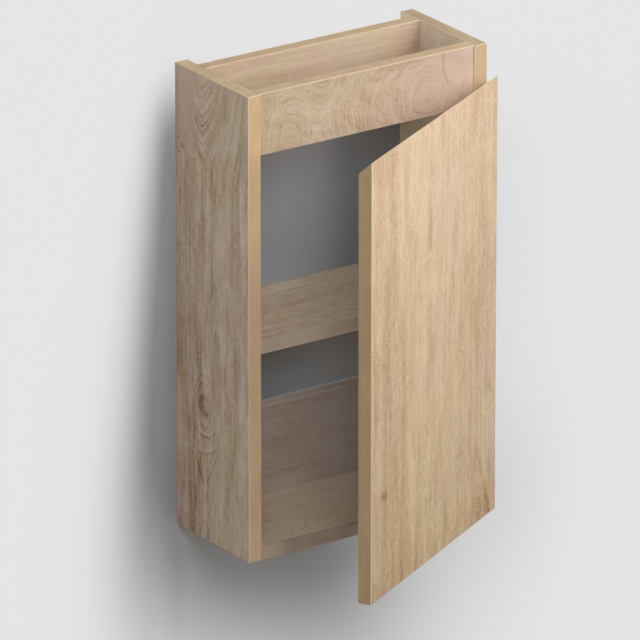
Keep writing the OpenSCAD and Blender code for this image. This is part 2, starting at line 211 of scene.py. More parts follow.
def screw_rings(head_r, head_h, shank_r, shank_l):
    """Rings of a pan-head screw about its own axis, head up, its head's underside at 0: a tapered
    cross recess, a domed top, a rounded rim, and a shank with a pointed end. The dome's height falls
    with the square of the radius, and the rim is a quarter of an ellipse."""
    bar_length, bar_width, dome, dome_fall = 0.55, 0.13, 0.78, 0.12  # shares of the head's size
    angle = np.linspace(0, 2 * np.pi, 64, endpoint=False)
    plus = cross_outline(angle, head_r * bar_length, head_r * bar_width)
    rows = [(plus * 0.02, head_h * 0.25), (plus * 0.62, head_h * 0.28), (plus * 0.97, head_h * 0.99)]
    for share in np.linspace(0.0, 1.0, 7):
        radius = plus * (1 - share) + head_r * dome * share
        rows.append((radius, head_h * (1.0 - dome_fall * (radius / head_r) ** 2)))
    for t in np.radians(np.linspace(15, 90, 5)):
        rim_r, rim_h = dome + (1 - dome) * np.sin(t), 0.93 - 0.5 * (1 - np.cos(t))
        rows.append((head_r * rim_r, head_h * rim_h))
    rows += [(head_r, head_h * 0.1), (head_r * 0.96, 0.0), (shank_r, 0.0), (shank_r, -shank_l * 0.8),
             (shank_r * 0.1, -shank_l)]
    rings = [np.stack([r * np.cos(angle), r * np.sin(angle), h + 0 * angle], -1) for r, h in rows]
    return np.stack(rings)


def screws(node, places, axis, size):
    """A node's screws: the same rings at each place, their heads turned to the axis's plus or minus
    side as each place's sign says. size holds the values that screw_rings takes."""
    rings = screw_rings(*size)
    local = rings.reshape(-1, 3)
    others = [a for a in range(3) if a != axis]
    points, faces = [], []
    for number, (place, sign) in enumerate(places):
        out = np.zeros_like(local)
        out[:, others] = local[:, :2]
        out[:, axis] = sign * local[:, 2]
        points.append(out + np.array(place))
        first = number * len(local)
        faces += [[first + i for i in f] for f in ring_faces(rings.shape[0], rings.shape[1])]
    return new_piece(node + "_heads", np.concatenate(points), faces, node, 30)


def turned_buffers(node, places):
    """Soft buffers turned from a profile: a stem that sits in the door, and on it a button with a
    rim in a quarter of an ellipse and a slightly domed top."""
    stem_r, button_r, rim_r, centre_r = 2.5 * MM, 4.0 * MM, 1.4 * MM, 0.01 * MM
    button_h, rim_foot, rim_h, dome_h = 3.2 * MM, 0.6 * MM, 2.1 * MM, 0.08 * MM
    count = 40
    lo, hi = closed_box(node)
    stem = button_h - (hi[1] - lo[1])
    t = np.radians(np.linspace(0, 90, 8))
    r = np.concatenate([[centre_r, stem_r, stem_r, button_r - 0.1 * MM],
                        button_r - rim_r + rim_r * np.cos(t), [button_r * 0.3, centre_r]])
    h = np.concatenate([[stem, stem, 0, 0], rim_foot + rim_h * np.sin(t),
                        [button_h - dome_h, button_h]])
    angle = np.linspace(0, 2 * np.pi, count, endpoint=False)
    outward, upright = r[:, None] * np.cos(angle), r[:, None] * np.sin(angle)
    points, faces = [], []
    for number, (x, y, z) in enumerate(places):
        ring = np.stack([x + outward, y + h[:, None] + 0 * angle, z + upright], -1)
        points.append(ring.reshape(-1, 3))
        first = number * len(r) * count
        faces += [[first + i for i in f] for f in ring_faces(len(r), count)]
    return new_piece(node + "_domes", np.concatenate(points), faces, node, 50)


# Each strip's axis and side, its rounded sides and those with a pale rim, a painted highlight
strips = [edging(place + "_edging", *how) for place, *how in (
    ("side_left_front", 1, -1, "uUv", "u"),
    ("side_left_top", 2, 1, "uUvV", "uv"),
    ("side_right_front", 1, -1, "uUv", "u"),
    ("side_right_top", 2, 1, "uUvV", "uv"),
    ("front_rail", 2, 1, "vV", "v"),
    ("rear_top_rail", 2, 1, "vV", "v"),
    ("low_rear_rail", 2, 1, "v"),
    ("shelf", 1, -1, "vV"),
    ("bottom", 1, -1, "vV"),
    ("door_bottom", 2, -1, "vV"),
    ("door_hinge", 0, 1, "uUvV"),
    ("door_free", 0, -1, "uUvV", "u"),
)]

door_lo, door_hi = closed_box("door_panel")
top_lo, top_hi = closed_box("door_top_edging")
slope = 17 / 18  # fall of the door's top edge for each unit of depth


def slanting_edges():
    """The three door strips that meet the slanting top: the top strip lies on the slope, and the
    two upright strips end on it, their upper ring points lowered to the slope's height."""
    for piece in strips[-2:]:
        mesh = piece.data
        co = np.zeros(len(mesh.vertices) * 3)
        mesh.vertices.foreach_get("co", co)
        closed = turned_about_hinge(co.reshape(-1, 3), -door_turn)
        upper = closed[:, 2] > top_hi[2] - 2 * MM
        closed[upper, 2] -= slope * (closed[upper, 1] - top_lo[1])
        mesh.vertices.foreach_set("co", turned_about_hinge(closed, door_turn).ravel())
        mesh.update()
    return [edging("door_top_edging", 2, 1, "vV", "v", fall=slope)]


strips += slanting_edges()

plates = ("hinge_plate_lower", "hinge_plate_upper")
brackets = ("wall_bracket_left", "wall_bracket_right")
arms_and_cups = ("hinge_arm_lower", "hinge_arm_upper", "hinge_cup_lower", "hinge_cup_upper")
hinge_heights = [closed_box(n)[0][2] * 0.5 + closed_box(n)[1][2] * 0.5 for n in plates]
inner_x = closed_box("hinge_plate_lower")[1][0]  # inner face of the right side
door_back_y = door_hi[1]
cup_x, plate_y, bracket_y = 0.1485, -0.120, -0.012
sheet, flange, arm_stand = 2 * MM, 1 * MM, 9.55 * MM  # what the screw heads rest on
plate_half, cup_half, bracket_half = 16 * MM, 24 * MM, 12 * MM  # half a pair of screws' spacing
# Each screw's head radius and height, and its shank's radius and length
small_screw = (3.5 * MM, 1.5 * MM, 1.75 * MM, 12 * MM)
large_screw = (4 * MM, 2 * MM, 2 * MM, 7.5 * MM)
signs = (-1, 1)

plate_places = [((inner_x - sheet, plate_y, z + s * plate_half), -1)
                for z in hinge_heights for s in signs]
cup_places = [((cup_x, door_back_y + flange, z + s * cup_half), 1)
              for z in hinge_heights for s in signs]
arm_places = [((inner_x - arm_stand, plate_y, z), -1) for z in hinge_heights]
bracket_places = [((s * (inner_x - sheet), bracket_y, t * bracket_half), -s)
                  for s in signs for t in signs]

nickel_pieces = [eased_copy(n, 0.35 * MM) for n in plates]
bracket_pieces = [eased_copy(n, 0.4 * MM) for n in brackets]
nickel_pieces += [eased_copy(n, 0.25 * MM) for n in arms_and_cups]
nickel_pieces += [
    screws("plate_screws", plate_places, 0, small_screw),
    screws("cup_screws", cup_places, 1, small_screw),
    screws("arm_screws", arm_places, 0, large_screw),
    screws("bracket_screws", bracket_places, 0, small_screw),
]
bumper_lo, bumper_hi = closed_box("door_bumpers")
buffer_x, buffer_r = -0.166, 4 * MM
buffers = turned_buffers("door_bumpers", [(buffer_x, door_back_y, bumper_lo[2] + buffer_r),
                                          (buffer_x, door_back_y, bumper_hi[2] - buffer_r)])


class Field:
    """A number that changes over the surface. Arithmetic on it adds Math nodes to its node tree."""

    def __init__(self, tree, socket):
        self.tree, self.socket = tree, socket

    def put(self, operation, *others):
        return Field(self.tree, add(self.tree, "Math", self, *others, operation=operation).outputs[0])

    def __add__(self, other):
        return self.put("ADD", other)

    def __radd__(self, other):
        return self.put("ADD", other)

    def __sub__(self, other):
        return self.put("SUBTRACT", other)

    def __rsub__(self, other):
        return self.put("MULTIPLY_ADD", -1.0, other)

    def __mul__(self, other):
        return self.put("MULTIPLY", other)

    def __truediv__(self, other):
        return self.put("DIVIDE", other)

    def smooth(self, low, high):
        """Rises smoothly from 0 at low to 1 at high; low may be the greater of the two."""
        node = add(self.tree, "MapRange", self, low, high, interpolation_type="SMOOTHSTEP")
        return Field(self.tree, node.outputs[0])


def join(tree, value, place):
    """Links a field or an output to an input, or sets the input to a plain value."""
    if isinstance(value, Field):
        tree.links.new(value.socket, place)
    elif isinstance(value, bpy.types.NodeSocket):
        tree.links.new(value, place)
    else:
        place.default_value = value


def add(tree, kind, *values, **named):
    """Adds a shader node. Its settings, whose names have small letters, are set first. Then values
    go into its first inputs in order, and the other named values into the inputs of those names."""
    node = tree.nodes.new("ShaderNode" + kind)
    for name in filter(str.islower, named):
        setattr(node, name, named[name])
    for place, value in zip(node.inputs, values):
        join(tree, value, place)
    for name, value in named.items():
        if not name.islower():
            join(tree, value, node.inputs[name])
    return node


def noise(x, y, z, detail=2.0, rough=0.5):
    """Soft noise about 0, from -0.5 to 0.5, of three fields."""
    tree = x.tree
    point = add(tree, "CombineXYZ", x, y, z).outputs[0]
    node = add(tree, "TexNoise", Vector=point, Scale=1.0, Detail=detail, Roughness=rough)
    return Field(tree, node.outputs[0]) - 0.5


def root(field, soft=0.0):
    """Square root of a field's square plus soft squared: an absolute value with a rounded foot."""
    return (field * field + soft * soft).put("SQRT")


def smooth_least(p, q, k):
    """Smooth minimum of two fields: -k log(exp(-p/k) + exp(-q/k))."""
    both_parts = (p * (-1.0 / k)).put("EXPONENT") + (q * (-1.0 / k)).put("EXPONENT")
    return both_parts.put("LOGARITHM", math.e) * -k


def spot(a, l, a0, l0, wide, high):
    """A soft elliptical spot: exp(-(da/wide)^2 - (dl/high)^2)."""
    da, dl = (a - a0) / wide, (l - l0) / high
    return ((da * da + dl * dl) * -1.0).put("EXPONENT")


def spots(a, l, rows):
    """Sum of soft spots. Each row gives the spot's middle across and along, its half width and half
    height in millimetres, and its strength."""
    return sum(spot(a, l, *row[:4]) * row[4] for row in rows)


def stroke(offset, wide):
    """A soft line where the offset passes 0: exp(-(offset/wide)^2)."""
    return (offset * offset * (-1.0 / (wide * wide))).put("EXPONENT")


def window(field, low, full_low, full_high, high):
    """1 between full_low and full_high, falling smoothly to 0 at low and at high."""
    return field.smooth(low, full_low) * field.smooth(high, full_high)


def srgb(r, g, b):
    """A colour written in 0-255 display values, as the linear values that nodes take."""
    c = np.array([r, g, b]) / 255
    return (*np.where(c <= 0.04045, c / 12.92, ((c + 0.055) / 1.055) ** 2.4), 1.0)


def colour_ramp(tree, tone, *stops):
    """A colour from a tone, along straight lines between stops of a tone and a display colour."""
    node = add(tree, "ValToRGB", tone)
    elements = node.color_ramp.elements
    for number, (place, colour) in ((0, stops[0]), (1, stops[-1])):
        elements[number].position, elements[number].color = place, srgb(*colour)
    for place, colour in stops[1:-1]:
        elements.new(place).color = srgb(*colour)
    return node.outputs[0]


def mixed(tree, share, first, second, way="MIX"):
    """A colour mixed from two, from the first at a share of 0 to the second at 1."""
    node = add(tree, "Mix", data_type="RGBA", blend_type=way, Factor=share, A=first, B=second)
    return node.outputs["Result"]


def group_tree(name, inputs, outputs):
    """A shader node group with named float inputs and outputs, its inputs as fields."""
    tree = bpy.data.node_groups.new(name, "ShaderNodeTree")
    for label, value in inputs:
        socket = tree.interface.new_socket(label, in_out="INPUT", socket_type="NodeSocketFloat")
        socket.default_value = value
    for label, kind in outputs:
        tree.interface.new_socket(label, in_out="OUTPUT", socket_type=kind)
    entry, leave = tree.nodes.new("NodeGroupInput"), tree.nodes.new("NodeGroupOutput")
    return tree, [Field(tree, s) for s in entry.outputs[:len(inputs)]], leave


def oak_grain_group():
    """Oak grain from a place across, along and below the face in millimetres: wavering growth
    lines, broad bands, short streaks, pore dashes, blotches and slanting flecks in patches."""
    tree, (a, l, d, ring, lined, banded, flecked), leave = group_tree(
        "oak grain",
        [("Across", 0.0), ("Along", 0.0), ("Depth", 0.0), ("Ring", 0.0), ("Lines", 0.55),
         ("Bands", 0.36), ("Flecks", 1.0)],
        [("Tone", "NodeSocketFloat"), ("Drift", "NodeSocketFloat"), ("Pores", "NodeSocketFloat")])
    deep = d / 22
    ring_width = 6.2
    waver = noise(a / 42, l / 150, deep, 2) * 9 + noise(a / 9, l / 48, deep + 7.3, 2) * 1.8
    w = a + waver
    lines = noise(w / 2.6, l / 240, deep + 3.1, 4, 0.62)
    bands = noise(w / 15, l / 330, deep + 11.7, 2)
    streaks = noise(w / 1.5, l / 30, deep + 5.9, 3, 0.6)
    mottle = noise(a / 26, l / 60, deep + 17.1, 3, 0.55)
    rings = (w * (2 * math.pi / ring_width) + noise(w / 7, l / 120, deep + 23, 2) * 9).put("SINE")
    rings = (rings * 0.5 + 0.5).put("POWER", 2.5)
    pores = noise(w / 0.5, l / 7.5, deep + 31, 1).smooth(0.1, 0.22)
    pores = pores * noise(w / 4, l / 90, deep + 2, 1).smooth(-0.1, 0.1)
    flecks = noise((l + a * 0.35) / 1.7, (a - l * 0.35) / 8, deep + 41, 2)
    flecks = flecks * noise(a / 38, l / 50, deep + 47, 1).smooth(-0.12, 0.16)
    blotches = noise(w / 6, l / 12, deep + 71, 3, 0.6)
    stripes = noise(w / 6, l / 110, deep + 61, 2)
    tone = 0.5 + lines * lined + (bands + stripes) * banded + streaks * lined * 0.8 + mottle * 0.45
    tone = tone - rings * ring + (flecks * 0.3 + blotches * 0.22) * flecked
    drift = noise(a / 60, l / 210, deep + 53, 2) + noise(w / 11, l / 70, deep + 67, 2) * 0.7 + 0.5
    for name, field in (("Tone", tone), ("Drift", drift), ("Pores", pores)):
        join(tree, field, leave.inputs[name])
    return tree


def oak_colour_group():
    """Colour of the printed oak from its tone, its drift from tan to rose, and its pores."""
    tree, (tone, drift, pores), leave = group_tree(
        "oak colour", [("Tone", 0.5), ("Drift", 0.5), ("Pores", 0.0)],
        [("Color", "NodeSocketColor"), ("Height", "NodeSocketFloat")])
    tan = colour_ramp(tree, tone, (0.0, (146, 116, 86)), (0.3, (195, 165, 130)),
                      (0.55, (215, 190, 156)), (1.0, (236, 217, 188)))
    rose = colour_ramp(tree, tone, (0.0, (148, 114, 90)), (0.3, (195, 162, 135)),
                       (0.55, (215, 187, 162)), (1.0, (237, 216, 196)))
    blend = mixed(tree, drift.smooth(0.15, 0.85), tan, rose)
    pored = mixed(tree, pores * 0.36, blend, srgb(170, 140, 112), "MULTIPLY")
    join(tree, pored, leave.inputs["Color"])
    join(tree, tone - pores, leave.inputs["Height"])
    return tree


oak_grain, oak_colour = oak_grain_group(), oak_colour_group()


def new_material(name, on_door=False):
    """A new material with its node tree, its shader, and the surface place in millimetres. On the
    door that is the place on the closed door."""
    material = bpy.data.materials.new(name)
    material.use_nodes = True
    tree = material.node_tree
    return material, tree, tree.nodes["Principled BSDF"], *place_mm(tree, on_door)


def place_mm(tree, on_door=False):
    """Object coordinates in millimetres as three fields; on the door, those of the closed door."""
    place = add(tree, "TexCoord").outputs["Object"]
    if on_door:
        place = add(tree, "Mapping", place, (-hinge_x, -hinge_y, 0)).outputs[0]
        place = add(tree, "Mapping", place, (hinge_x, hinge_y, 0), (0, 0, -door_turn)).outputs[0]
    return [Field(tree, s) * 1000.0 for s in add(tree, "SeparateXYZ", place).outputs]


def surface(tree, shader, colour, roughness, height, strength, distance):
    """Sets a shader's colour and roughness, and its normal from a height."""
    normal = add(tree, "Bump", Strength=strength, Distance=distance, Height=height).outputs[0]
    for name, value in {"Base Color": colour, "Roughness": roughness, "Normal": normal}.items():
        join(tree, value, shader.inputs[name])


def chipboard(tree, x, y, z):
    """Raw particle board for unedged narrow sides and bores: pressed chips of several tones."""
    point = add(tree, "CombineXYZ", x / 1.9, y / 1.9, z / 1.1).outputs[0]
    cells = add(tree, "TexVoronoi", Vector=point, Scale=1.0)
    level = Field(tree, add(tree, "SeparateColor", cells.outputs["Color"]).outputs[0])
    tone = level + noise(x / 0.6, y / 0.6, z / 0.6, 2) * 0.5
    return colour_ramp(tree, tone, (0.0, (120, 92, 62)), (1.0, (214, 188, 150)))


half_board = 9  # half of a board's thickness in millimetres
plain_contrast, plain_tint = 1.4, (1.06, 1.06, 1.03, 1.0)  # of a board's other face


def oak_material(name, figure, thick_axis, middle, lined, banded, flecked, contrast, tint, shown,
                 on_door=False):
    """Printed oak for one board. figure gives, from the place in millimetres, the distances across
    and along the grain and below the face, the strength of the growth rings, and what is added to
    the tone and to the drift. lined, banded and flecked give the strength of fine lines, broad bands
    and small flecks. On the face to the side of shown, contrast strengthens all of the grain, by a
    number or by a function of the place, and tint multiplies its colour. The board's other face has
    plain values of its own. Where the place lies inside the two faces, raw chipboard shows."""
    material, tree, shader, x, y, z = new_material(name, on_door)
    a, l, d, ring, tone_added, drift_added = figure(x, y, z)
    grain, colour = add(tree, "Group"), add(tree, "Group")
    grain.node_tree, colour.node_tree = oak_grain, oak_colour
    for label, value in (("Across", a), ("Along", l), ("Depth", d), ("Ring", ring), ("Lines", lined),
                         ("Bands", banded), ("Flecks", flecked)):
        join(tree, value, grain.inputs[label])
    from_middle = (x, y, z)[thick_axis] - middle
    face = (from_middle * shown).smooth(-1, 1)
    if callable(contrast):
        contrast = contrast(x, y, z)
    strength = face * (contrast - plain_contrast) + plain_contrast
    tone = (Field(tree, grain.outputs["Tone"]) - 0.5) * strength + (0.5 + tone_added)
    join(tree, tone, colour.inputs["Tone"])
    join(tree, Field(tree, grain.outputs["Drift"]) + drift_added, colour.inputs["Drift"])
    join(tree, grain.outputs["Pores"], colour.inputs["Pores"])
    tints = mixed(tree, face, plain_tint, (*tint, 1.0))
    tinted = mixed(tree, 1.0, colour.outputs["Color"], tints, "MULTIPLY")
    core = root(from_middle).smooth(half_board - 0.25, half_board - 0.35)
    shown_colour = mixed(tree, core, tinted, chipboard(tree, x, y, z))
    height = Field(tree, colour.outputs["Height"])
    surface(tree, shader, shown_colour, 0.62 - height * 0.12, height, 0.35, 0.15 * MM)
    shader.inputs["Specular IOR Level"].default_value = 0.32
    return material


# Soft spots in the tone of the left side over y and z: the knot's eye, flecks, and wider darker and
# paler places
side_left_spots = [
    (-56, -309, 5, 6, -0.36), (-50, -317, 4.5, 6, -0.36), (-63, -328, 5, 5, -0.36),
    (-58, -319, 2.4, 4, -0.216), (-58, -321, 8, 14, -0.16), (-66, -197, 1.8, 9, -0.3),
    (-47, -406, 4.5, 9, -0.2), (-40, -215, 9, 34, -0.14), (-47, -25, 7, 26, -0.10),
    (-108, 86, 5, 22, -0.10), (-130, -120, 5, 160, 0.08), (-22, -285, 12, 42, -0.15),
    (-152, -315, 10, 80, 0.12), (-47, -352, 7, 18, 0.12), (-45, -120, 14, 44, -0.08),
    (-18, -305, 14, 40, -0.09), (-50, -245, 22, 34, -0.10), (-50, -367, 20, 22, 0.09),
    (-70, -450, 17, 24, -0.12), (-132, -272, 18, 26, 0.08), (-108, 62, 22, 24, -0.06),
    (-28, -165, 22, 36, -0.06),
]


def side_left_figure(x, y, z):
    """Straight lines that part round a knot low down, and chevrons near the top round y = -57:
    distance from the middle line, less a rise that starts at z = 12 and dies away from that line.
    Rims go round the knot, sagging lines lie below it, then a fan of slanting ones."""
    knot_y, knot_z = y + 59, (z + 317) / 2.3
    parted = y - knot_y / (knot_y * knot_y + knot_z * knot_z + 60.0) * 121.0
    sway = noise(y / 16, z / 24, x / 60, 2) * 7
    near_top = z.smooth(-15, 45)
    climb = (root(z - 12, 12) + (z - 12)) * 0.27 * stroke(y + 62, 90) * y.smooth(-8, -46)
    fan = z.smooth(-372, -392) * z.smooth(-450, -410) * spot(y, z, -70, -400, 22, 60)
    across = root(parted + 57, 2.5) * (1.0 - near_top * stroke(y + 57, 60) * 0.45) - climb
    across = across + fan * (z + 400) * 0.45 + near_top * noise(y / 16, z / 11, x / 60 + 4, 2) * 6
    apart = y.smooth(-80, -30) * z.smooth(26, -10) * 70

    oval = (knot_y * knot_y / 210.0 + (z + 318) * (z + 318) / 900.0).put("SQRT")
    rims = stroke(oval - 1.0 + sway * 0.02, 0.07) + stroke(oval - 1.32 + sway * 0.03, 0.06) * 0.7
    rims = rims - stroke(oval - 1.16, 0.08) * 0.6
    upper_sag = z + 359 - (y + 58) * (y + 58) * 0.02 + sway
    lower_sag = z + 381 - (y + 52) * (y + 52) * 0.013 + sway
    sags = stroke(upper_sag, 1.8) - stroke(upper_sag - 4, 1.8) * 0.6
    sags = sags + stroke(lower_sag, 2.1) - stroke(lower_sag - 4, 2.0) * 0.6
    sags = sags * spot(y, z, -62, -364, 27, 36)
    left_fan, right_fan = y + 88 + (z + 372) * 0.5, y + 40 - (z + 385) * 0.5
    arms = stroke(left_fan, 1.8) + stroke(left_fan - 7, 1.6) * 0.7
    arms = arms * window(z, -432, -412, -378, -366)
    arms = arms + stroke(right_fan, 2.2) * window(z, -426, -412, -388, -380) * 1.2
    vein = stroke(y + 37 + noise(z / 28, y / 90, x / 60, 1) * 9, 2.6) * z.smooth(-235, -275)

    tone = spots(y, z, side_left_spots) - rims * 0.16 - sags * 0.30 - arms * 0.22 - vein * 0.22
    # Darker along the rear edge beside the wall, as painted shade, and a pale line at the front
    # corner, a painted highlight.
    tone = tone - y.smooth(-14, -8) * 0.06 + y.smooth(-155.6, -156.4) * 0.35
    tone = tone - stroke(y + 22, 13) * z.smooth(10, -40) * 0.05 - z.smooth(-120, -420) * 0.04
    tone = tone - z.smooth(-462, -488) * y.smooth(-92, -62) * 0.10
    tone = tone - z.smooth(-445, -480) * y.smooth(-80, -50) * 0.06
    ring = 0.03 + z.smooth(5, 35) * spot(y, z, -58, 62, 23, 55) * 0.13
    return across, z, x + 400 + apart, ring, tone, y.smooth(-60, -10) * z.smooth(-80, 60) * 0.4


def side_left_contrast(x, y, z):
    """Weaker grain behind the chevrons and towards the front edge, both near the top."""
    return (1.95 - y.smooth(-46, -34) * z.smooth(5, 35) * 1.1
            - y.smooth(-80, -100) * z.smooth(0, 50) * 0.5)


def side_right_figure(x, y, z):
    """Straight lines inside; outside, long arches round y = -95 that narrow upwards. The tone adds
    painted light and shade on the inner face, and painted light at the board's front edge.
    """
    outer = x.smooth(165, 167)
    straight = y + noise(y / 60, z / 200, x / 60, 1) * 12 + 300
    arch = root(y + 95, 6) + (y + 95) * 0.45 - (z + 180) * 0.06
    arch = arch + noise(y / 24, z / 90, x / 60, 2) * 12
    across = straight * (1.0 - outer) + (arch + 500) * outer
    # Painted light and shade on the inner face: paler below z = -50 and darker above z = 10. The
    # front few millimetres of the board are paler too, as painted light in the recess behind the
    # fascia.
    inner_painted_light_and_shade = z.smooth(-90, -50) * 0.44 + 0.06 - z.smooth(10, 30) * 0.16
    tone = y.smooth(-151, -155) * 0.55 + x.smooth(160, 158) * inner_painted_light_and_shade
    tone = tone - spot(y, z, -52, -250, 7, 60) * outer * 0.12
    return across, z + 700, x + 90, 0.03 + outer * 0.05, tone, 0.0


# Soft spots in the tone of the fascia over x and z
fascia_spots = [
    (118, 68, 5, 3, -0.12), (-122, 90, 9, 4, -0.072), (56, 53, 3, 3, -0.036), (152, 66, 16, 40, 0.08),
    (-55, 50, 14, 10, 0.08), (-115, 92, 14, 9, -0.08), (35, 68, 14, 10, 0.04),
]


def fascia_figure(x, y, z):
    """Fine short lines that follow faint rings round a centre near the right end and widen into
    long arcs towards the left, where they lean over above z = 66; a narrow arch at the left end,
    and a soft check that runs up from the rings. The distance across is the smooth minimum of the
    distances from the two centres."""
    wander = noise(x / 34, z / 24, y / 40 + 3, 3) * 20 + noise(x / 9, z / 12, y / 40 + 5, 2) * 3.5
    ring_x, ring_z, arch_x, arch_z = x - 90, z - 60, x + 113, (z - 36) * 0.5
    lean = (root(z - 66, 8) + (z - 66)) * x.smooth(10, -80)
    from_rings = (ring_x * ring_x * 0.7 + ring_z * ring_z * 0.8 + 200.0).put("SQRT") + lean * 0.45
    from_arch = (arch_x * arch_x + arch_z * arch_z + 30.0).put("SQRT") + 100.0
    merged = smooth_least(from_rings, from_arch, 10.0)
    arc_width = 4.4
    arcs = (merged * (2 * math.pi / arc_width) + wander * 0.9).put("SINE")
    arcs = arcs * (spot(x, z, 66, 50, 30, 14) * 0.8 + spot(x, z, -10, 52, 46, 22) * 0.8)
    check = stroke(x - 112 - z.smooth(86, 64) * 7, 1.9) * z.smooth(60, 74) * 0.8
    check = check + stroke(x - 119, 1.5) * z.smooth(70, 62) * 0.25
    marks = stroke(x + 90, 1.6) * stroke(z - 43, 5) + stroke(x + 82, 1.6) * stroke(z - 47, 5)
    marks = marks - stroke(x + 58 - root(z - 60, 6) * 0.2, 2.2) * stroke(z - 68, 16) * 0.8
    tone = spots(x, z, fascia_spots) + arcs * 0.055 - check * 0.24 - marks * 0.14 + 0.01
    tone = tone + x.smooth(60, 120) * 0.06 - x.smooth(-120, -150) * 0.07
    drift = x.smooth(20, 100) * 0.6 - x.smooth(-100, -150) * 0.3 - 0.1
    return merged * 1.3 + wander, z * 3 + x * 0.4, y, 0.02, tone, drift


def fascia_contrast(x, y, z):
    """Weaker grain in the smooth area at the upper right, and inside the rings and the arch."""
    return (1.45 - x.smooth(60, 105) * z.smooth(62, 82) * 0.75 - spot(x, z, 98, 58, 34, 24) * 0.9
            - spot(x, z, -112, 44, 22, 22) * 0.45)


def rear_rail_figure(x, y, z):
    """Lines along the rail, darker towards its ends and its lower edge."""
    tone = (z - 70) * 0.002 - x.smooth(-90, -140) * 0.07 - x.smooth(85, 125) * 0.06
    return z + noise(x / 120, z / 40, y / 60, 1) * 16 + 900, x + 200, y, 0.06, tone, 0.0


def low_rail_figure(x, y, z):
    """Lines along the rail, paler and rosier towards the right."""
    tone = x.smooth(0, 70) * 0.1 - spot(x, z, -25, -385, 20, 32) * 0.09 - 0.02
    across, drift = z + noise(x / 150, z / 40, y / 60, 1) * 14 + 1300, x.smooth(-50, 10) * 0.35 + 0.1
    return across, x + 900, y, 0.03, tone, drift


def shelf_figure(x, y, z):
    """Lines along the shelf, a little paler at the right."""
    across = y + noise(x / 150, y / 50, z / 60, 1) * 14 + 1700
    return across, x + 500, z, 0.04, x.smooth(30, 60) * 0.05, 0.15


def bottom_figure(x, y, z):
    """Lines along the board that turn across the upper face in uneven arcs near the front edge."""
    turn = y.smooth(-104, -130) * z.smooth(-480, -478)
    bend = x * 0.8 - y * 0.55 + noise(x / 34, y / 40, z / 60 + 2, 2) * 24
    across = (y + 2100) * (1.0 - turn) + (bend + 2100) * turn
    arc_width = 13
    arcs = stroke((bend * (math.pi / arc_width)).put("SINE"), 0.34) * turn
    arcs = arcs * spot(x, y, -50, -128, 62, 15)
    tone = x.smooth(0, 60) * y.smooth(-90, -40) * 0.1 + spot(x, y, 17, -85, 26, 40) * 0.06
    drift = x.smooth(-60, 0) * y.smooth(-110, -50) * 0.5 + 0.1
    return across, x * (1.0 - turn) + y * turn, z, 0.05, tone - arcs * 0.22 + turn * 0.03, drift


# Soft spots in the tone and in the drift of the door over x and z
door_spots = [
    (-16, -202, 3, 9, -0.12), (-36, -145, 5, 3.5, -0.20), (-46, -126, 3, 3, -0.22),
    (-141, -366, 13, 7, -0.16), (-112, -60, 9, 70, -0.06), (-92, 10, 7, 70, 0.10),
    (92, -220, 4, 50, 0.07), (70, -270, 14, 60, -0.05), (120, -205, 18, 14, -0.06),
    (155, -322, 6, 9, -0.12), (158, -160, 10, 200, 0.05), (-172, 62, 26, 36, -0.12),
    (152, -484, 34, 44, -0.16), (0, -110, 34, 130, 0.04), (145, -180, 32, 50, -0.06),
    (158, -305, 12, 24, -0.08), (158, -445, 14, 30, -0.07), (85, -482, 26, 28, -0.05),
    (-122, -255, 16, 26, -0.06), (82, -38, 18, 40, -0.05), (-40, -140, 14, 44, 0.05),
]
door_drift_spots = [
    (160, -150, 14, 130, 0.3), (-70, -390, 50, 90, -0.5), (30, -30, 60, 90, 0.25),
    (-32, -90, 20, 130, -0.2), (30, -320, 24, 60, -0.35), (-135, -10, 14, 40, 0.25),
    (130, -290, 20, 40, 0.3), (-140, -362, 20, 14, -0.6),
]


def door_figure(x, y, z):
    """Soft upright grain: broad faint bands, blotches, slanting fine flecks in patches, short dark
    and light strokes, a curl under one of them, a small knot low at the left and a slanting dark
    streak low at the right."""
    knot_x, knot_z = x + 140, (z + 365) / 1.6
    across = x + knot_x / (knot_x * knot_x + knot_z * knot_z + 40.0) * -50.0
    wave = noise(x / 30, z / 60, y / 40 + 4, 2) * 2.8
    hairs = noise(x / 2.4, z / 34, y / 40 + 12, 2).smooth(0.1, 0.3)
    hairs = hairs * noise(x / 30, z / 90, y / 40 + 15, 1).smooth(-0.1, 0.12)
    tone = spots(x, z, door_spots) + hairs * 0.18
    tone = tone - stroke(x + 56, 3.2) * window(z, -130, -100, -70, -40) * 0.16
    tone = tone - stroke(x + 14 + wave, 5) * window(z, -98, -88, -50, -5) * 0.22
    tone = tone - stroke(x + 11 + wave, 5.5) * window(z, -260, -220, -160, -130) * 0.12
    curl = z + 103 - (x + 36) * (x + 36) * 0.012
    tone = tone + stroke(curl, 1.5) * window(x, -40, -28, -16, -6) * 0.22
    tone = tone - stroke(curl + 4, 2.0) * window(x, -36, -28, -16, -8) * 0.12
    slant = x - 122 + (z + 400) * 0.38
    tone = tone - stroke(slant, 2.6) * z.smooth(-380, -420) * 0.18
    tone = tone + stroke(slant - 11, 6) * z.smooth(-360, -400) * 0.10
    fork = z + 362 - root(x - 152, 2) * 0.55
    tone = tone + stroke(fork, 1.8) * spot(x, z, 150, -356, 14, 12) * 0.20
    tone = tone - x.smooth(-60, -115) * 0.085 - stroke(x - 128, 24) * 0.09
    tone = tone - z.smooth(20, 55) * root(x + 14).smooth(14, 40) * 0.06 - z.smooth(-440, -480) * 0.05
    tone = tone - x.smooth(-50, -90) * z.smooth(-100, -150) * 0.045
    # Paler upwards: partly the print, partly painted light for the lamps' fall-off down the door.
    tone = tone + (z + 280) * 0.0002 + stroke(z + 335, 80) * 0.05 + 0.03
    drift = x.smooth(40, 90) * z.smooth(-10, 30) * 0.45 - z.smooth(-420, -470) * 0.45
    return across + 2600, z + 300, y, 0.0, tone, drift + spots(x, z, door_drift_spots)


